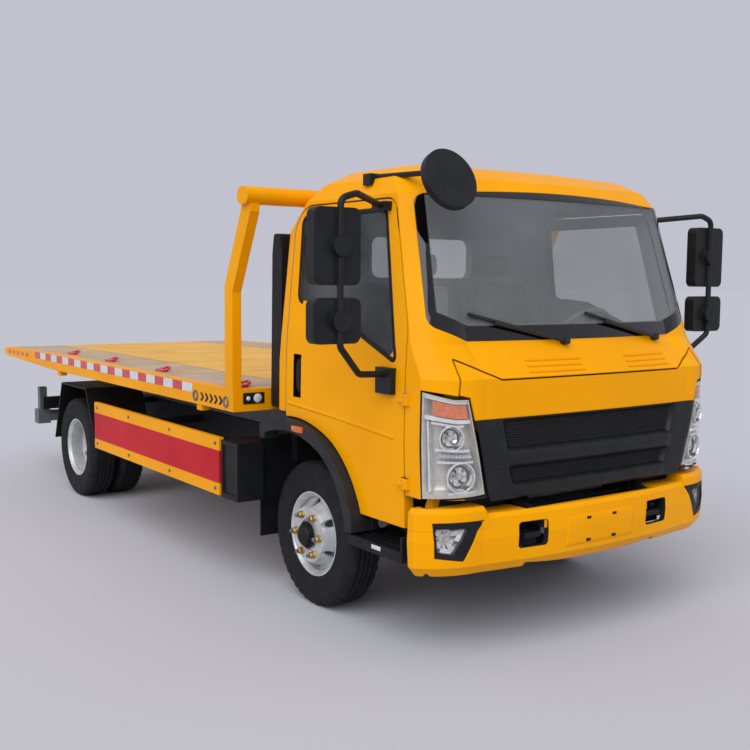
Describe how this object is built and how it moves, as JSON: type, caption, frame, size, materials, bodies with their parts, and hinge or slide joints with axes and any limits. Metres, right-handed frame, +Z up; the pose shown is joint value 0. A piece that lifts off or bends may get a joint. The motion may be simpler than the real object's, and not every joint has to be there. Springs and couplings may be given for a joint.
{
  "type": "flatbed tow truck",
  "caption": "Light cab-over recovery truck with a tilting, sliding flatbed, headboard, winch and a rear underlift bar.",
  "frame": {"origin": "on the ground, below the middle of the overall length and width", "axes": "+X forward, +Y to the truck's left, +Z up"},
  "size_m": [5.9498, 2.785, 2.2861],
  "materials": {
    "body_paint": "gloss yellow-orange paint",
    "skirt_paint": "gloss yellow paint with a red band",
    "bed_paint": "gloss yellow paint with tape squares",
    "deck_paint": "worn paint on tread plate",
    "chassis_black": "satin black paint",
    "grey_steel": "grey paint",
    "cylinder_paint": "black paint",
    "wheel_silver": "silver paint",
    "polished_rod": "hard chrome",
    "engine_iron": "cast",
    "bare_alloy": "mill finish",
    "tyre_rubber": "matt",
    "wiper_rubber": "matt",
    "black_plastic": "grained",
    "grey_plastic": "grained",
    "cabin_plastic": "grained",
    "lamp_clear": "clear lens",
    "lamp_red": "red lens",
    "window_glass": "clear",
    "seat_cloth": "woven"
  },
  "bodies": {
    "chassis": {"ladder_frame": "chassis_black", "front_axle": "chassis_black", "rear_axle": "chassis_black", "leaf_springs": "chassis_black", "engine": "engine_iron", "radiator": "bare_alloy", "propeller_shaft": "chassis_black", "fuel_tank": "grey_steel", "side_boxes": "black_plastic", "side_guards": "skirt_paint", "mudguards": "black_plastic", "front_bumper": "body_paint", "fog_lamps": "lamp_clear", "cab_steps": "black_plastic", "rear_lamps": "lamp_red", "air_snorkel": "black_plastic", "underlift_mast": "grey_steel"},
    "knuckle_right": {"knuckle_right": "chassis_black"},
    "knuckle_left": {"knuckle_left": "chassis_black"},
    "front_wheel_right": {"front_rim_right": "wheel_silver", "front_tyre_right": "tyre_rubber"},
    "front_wheel_left": {"front_rim_left": "wheel_silver", "front_tyre_left": "tyre_rubber"},
    "rear_wheel_right": {"rear_rims_right": "wheel_silver", "rear_tyres_right": "tyre_rubber"},
    "rear_wheel_left": {"rear_rims_left": "wheel_silver", "rear_tyres_left": "tyre_rubber"},
    "cab": {"cab_shell": "body_paint", "cab_glass": "window_glass", "dashboard": "cabin_plastic", "steering_wheel": "cabin_plastic", "cab_seats": "seat_cloth", "headlamps": "lamp_clear", "front_mirror": "black_plastic", "wipers": "wiper_rubber", "arch_trims": "grey_plastic"},
    "front_flap": {"front_flap": "body_paint", "grille": "black_plastic"},
    "door_right": {"door_right": "body_paint", "door_glass_right": "window_glass", "mirror_right": "grey_plastic"},
    "door_left": {"door_left": "body_paint", "door_glass_left": "window_glass", "mirror_left": "grey_plastic"},
    "tilt_subframe": {"tilt_subframe": "grey_steel", "slide_barrel": "cylinder_paint"},
    "bed": {"bed_frame": "bed_paint", "bed_deck": "deck_paint", "bed_runners": "grey_steel", "headboard": "bed_paint", "winch": "chassis_black", "slide_rod": "polished_rod"},
    "tilt_barrels": {"tilt_barrels": "cylinder_paint"},
    "tilt_rods": {"tilt_rods": "polished_rod"},
    "underlift_boom": {"underlift_boom": "grey_steel"},
    "underlift_crossbar": {"underlift_crossbar": "grey_steel"}
  },
  "joints": [
    {"name": "steer_right", "type": "hinge", "parent": "chassis", "child": "knuckle_right", "pos_m": [1.805, -0.65, 0.382], "axis": [0, 0, 1], "range_deg": [-35, 35]},
    {"name": "front_spin_right", "type": "hinge", "parent": "knuckle_right", "child": "front_wheel_right", "pos_m": [1.805, -0.82, 0.382], "axis": [0, 1, 0], "continuous": true},
    {"name": "rear_spin_right", "type": "hinge", "parent": "chassis", "child": "rear_wheel_right", "pos_m": [-1.555, -0.79, 0.382], "axis": [0, 1, 0], "continuous": true},
    {"name": "door_right_open", "type": "hinge", "parent": "cab", "child": "door_right", "pos_m": [2.657, -0.96, 1], "axis": [0, 0, 1], "range_deg": [0, 70]},
    {"name": "steer_left", "type": "hinge", "parent": "chassis", "child": "knuckle_left", "pos_m": [1.805, 0.65, 0.382], "axis": [0, 0, 1], "range_deg": [-35, 35]},
    {"name": "front_spin_left", "type": "hinge", "parent": "knuckle_left", "child": "front_wheel_left", "pos_m": [1.805, 0.82, 0.382], "axis": [0, 1, 0], "continuous": true},
    {"name": "rear_spin_left", "type": "hinge", "parent": "chassis", "child": "rear_wheel_left", "pos_m": [-1.555, 0.79, 0.382], "axis": [0, 1, 0], "continuous": true},
    {"name": "door_left_open", "type": "hinge", "parent": "cab", "child": "door_left", "pos_m": [2.657, 0.96, 1], "axis": [0, 0, -1], "range_deg": [0, 70]},
    {"name": "cab_tilt", "type": "hinge", "parent": "chassis", "child": "cab", "pos_m": [2.89, 0, 0.65], "axis": [0, 1, 0], "range_deg": [0, 42]},
    {"name": "flap_open", "type": "hinge", "parent": "cab", "child": "front_flap", "pos_m": [2.85, 0, 1.355], "axis": [0, -1, 0], "range_deg": [0, 50]},
    {"name": "bed_tilt", "type": "hinge", "parent": "chassis", "child": "tilt_subframe", "pos_m": [-1.995, 0, 0.8], "axis": [0, -1, 0], "range_deg": [0, 16]},
    {"name": "bed_slide", "type": "slide", "parent": "tilt_subframe", "child": "bed", "axis": [-1, 0, 0], "range_m": [0, 2.6]},
    {"name": "cylinder_swing", "type": "hinge", "parent": "chassis", "child": "tilt_barrels", "pos_m": [0.455, 0, 0.6], "axis": [0, 1, 0], "range_deg": [0, 19.1]},
    {"name": "cylinder_stroke", "type": "slide", "parent": "tilt_barrels", "child": "tilt_rods", "axis": [-0.9824, 0, 0.1867], "range_m": [0, 0.1915]},
    {"name": "underlift_lower", "type": "hinge", "parent": "chassis", "child": "underlift_boom", "pos_m": [-1.835, 0, 0.52], "axis": [0, -1, 0], "range_deg": [0, 10]},
    {"name": "underlift_reach", "type": "slide", "parent": "underlift_boom", "child": "underlift_crossbar", "axis": [-1, 0, 0], "range_m": [0, 0.4]}
  ],
  "couplings": [
    {"joint": "steer_left", "follows": "steer_right", "ratio": 1},
    {"joint": "cylinder_swing", "follows": "bed_tilt", "ratio": 1.1625},
    {"joint": "cylinder_stroke", "follows": "bed_tilt", "m_per_rad": 0.6786}
  ]
}
